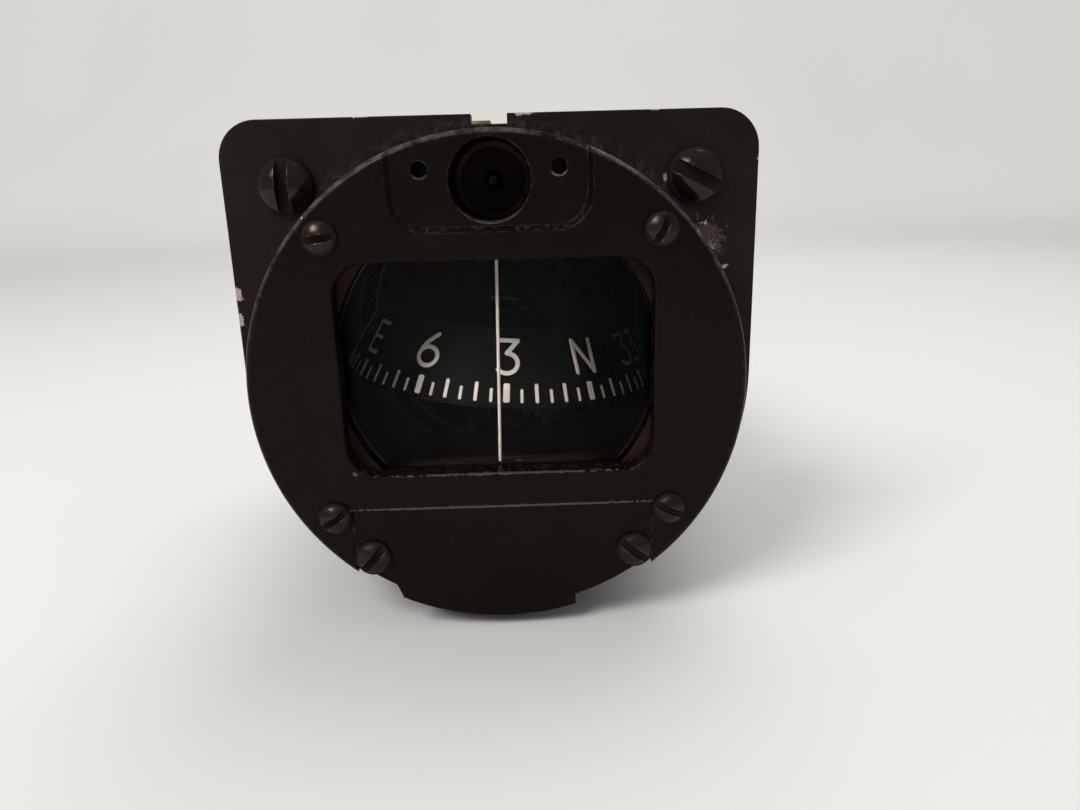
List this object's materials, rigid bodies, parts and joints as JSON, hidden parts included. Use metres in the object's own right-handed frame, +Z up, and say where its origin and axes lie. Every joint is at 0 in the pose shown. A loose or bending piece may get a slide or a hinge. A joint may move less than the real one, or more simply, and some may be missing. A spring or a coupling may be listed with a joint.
{
  "type": "aircraft magnetic compass",
  "caption": "Liquid-filled magnetic compass for an aircraft panel: a square-topped flange, a round bezel with a window, a floating card with a lubber line, and a compensator.",
  "frame": {"origin": "centre of the flange's front face, on the bezel's axis", "axes": "+Z up, -Y towards the reader along the bezel's axis, +X to the reader's right"},
  "size_m": [0.0826, 0.0857, 0.0823],
  "materials": {
    "case_paint": "satin",
    "bezel_paint": "satin",
    "clear_glass": "gloss",
    "brown_gasket": "matte",
    "white_line": "satin",
    "dark_steel": "satin",
    "small_steel": "satin",
    "bright_brass": "satin",
    "phosphor_sheet": "satin",
    "fibre_board": "matte",
    "card_black": "matte",
    "float_shell": "satin",
    "magnet_steel": "satin",
    "jewel_sapphire": "polished"
  },
  "bodies": {
    "body": {"bezel": "bezel_paint", "bezel_screws": "dark_steel", "block_screws": "small_steel", "case": "case_paint", "compensator_block": "bright_brass", "compensator_cover": "bezel_paint", "compensator_frame": "bright_brass", "cover_screws": "dark_steel", "diaphragm": "phosphor_sheet", "earth_screw": "small_steel", "earth_strip": "bright_brass", "filler_plug": "bright_brass", "filler_washer": "brown_gasket", "front_gasket": "brown_gasket", "glass": "clear_glass", "jewel_spring": "small_steel", "lamp_contact": "bright_brass", "lamp_insulator": "fibre_board", "lamp_sleeve": "bright_brass", "lubber_clip": "bright_brass", "lubber_line": "white_line", "mounting_inserts": "bright_brass", "mounting_screws": "dark_steel", "pivot_post": "bright_brass", "post_collar": "bright_brass", "post_screws": "small_steel", "rear_cover": "case_paint", "rear_end_gasket": "brown_gasket", "rear_gasket": "brown_gasket", "rear_screws": "dark_steel", "wheel_arbors": "small_steel", "wheel_spacers": "bright_brass"},
    "jewel_holder": {"jewel_holder": "bright_brass"},
    "jewel": {"jewel": "jewel_sapphire"},
    "pivot": {"pivot_pin": "small_steel", "pivot_hub": "bright_brass", "hub_nut": "bright_brass"},
    "card": {"card_skirt": "card_black", "card_web": "card_black", "card_float": "float_shell", "card_magnets": "magnet_steel", "magnet_bridge": "bright_brass"},
    "ns_spindle": {"ns_spindle": "bright_brass"},
    "ns_upper_wheel": {"ns_upper_wheel": "bright_brass", "ns_upper_magnets": "magnet_steel"},
    "ns_lower_wheel": {"ns_lower_wheel": "bright_brass", "ns_lower_magnets": "magnet_steel"},
    "ew_spindle": {"ew_spindle": "bright_brass"},
    "ew_upper_wheel": {"ew_upper_wheel": "bright_brass", "ew_upper_magnets": "magnet_steel"},
    "ew_lower_wheel": {"ew_lower_wheel": "bright_brass", "ew_lower_magnets": "magnet_steel"}
  },
  "joints": [
    {"name": "jewel_travel", "type": "slide", "parent": "body", "child": "jewel_holder", "axis": [0, 0, 1], "range_m": [-0.0008, 0], "stiffness_N_per_m": 500, "springref_m": 0.001, "deforming": ["jewel_spring"]},
    {"name": "card_tilt_fore_aft", "type": "hinge", "parent": "jewel_holder", "child": "jewel", "pos_m": [0, 0.032, 0.002], "axis": [1, 0, 0], "range_deg": [-12, 12]},
    {"name": "card_tilt_side", "type": "hinge", "parent": "jewel", "child": "pivot", "pos_m": [0, 0.032, 0.002], "axis": [0, 1, 0], "range_deg": [-16.8, 7.2]},
    {"name": "card_turn", "type": "hinge", "parent": "pivot", "child": "card", "pos_m": [0, 0.032, 0.002], "axis": [0.0837, 0, 0.9965], "continuous": true},
    {"name": "ns_spindle_turn", "type": "hinge", "parent": "body", "child": "ns_spindle", "pos_m": [-0.0082, 0, -0.0269], "axis": [0, 1, 0], "continuous": true},
    {"name": "ns_upper_wheel_turn", "type": "hinge", "parent": "body", "child": "ns_upper_wheel", "pos_m": [-0.0082, 0.008, -0.0269], "axis": [0, 0, 1], "continuous": true},
    {"name": "ns_lower_wheel_turn", "type": "hinge", "parent": "body", "child": "ns_lower_wheel", "pos_m": [-0.0082, 0.008, -0.0269], "axis": [0, 0, 1], "continuous": true},
    {"name": "ew_spindle_turn", "type": "hinge", "parent": "body", "child": "ew_spindle", "pos_m": [0.0082, 0, -0.0269], "axis": [0, 1, 0], "continuous": true},
    {"name": "ew_upper_wheel_turn", "type": "hinge", "parent": "body", "child": "ew_upper_wheel", "pos_m": [0.0082, 0.008, -0.0269], "axis": [0, 0, 1], "continuous": true},
    {"name": "ew_lower_wheel_turn", "type": "hinge", "parent": "body", "child": "ew_lower_wheel", "pos_m": [0.0082, 0.008, -0.0269], "axis": [0, 0, 1], "continuous": true}
  ],
  "couplings": [
    {"joint": "ns_upper_wheel_turn", "follows": "ns_spindle_turn", "ratio": 0.33333},
    {"joint": "ns_lower_wheel_turn", "follows": "ns_spindle_turn", "ratio": -0.33333},
    {"joint": "ew_upper_wheel_turn", "follows": "ew_spindle_turn", "ratio": 0.33333},
    {"joint": "ew_lower_wheel_turn", "follows": "ew_spindle_turn", "ratio": -0.33333}
  ]
}
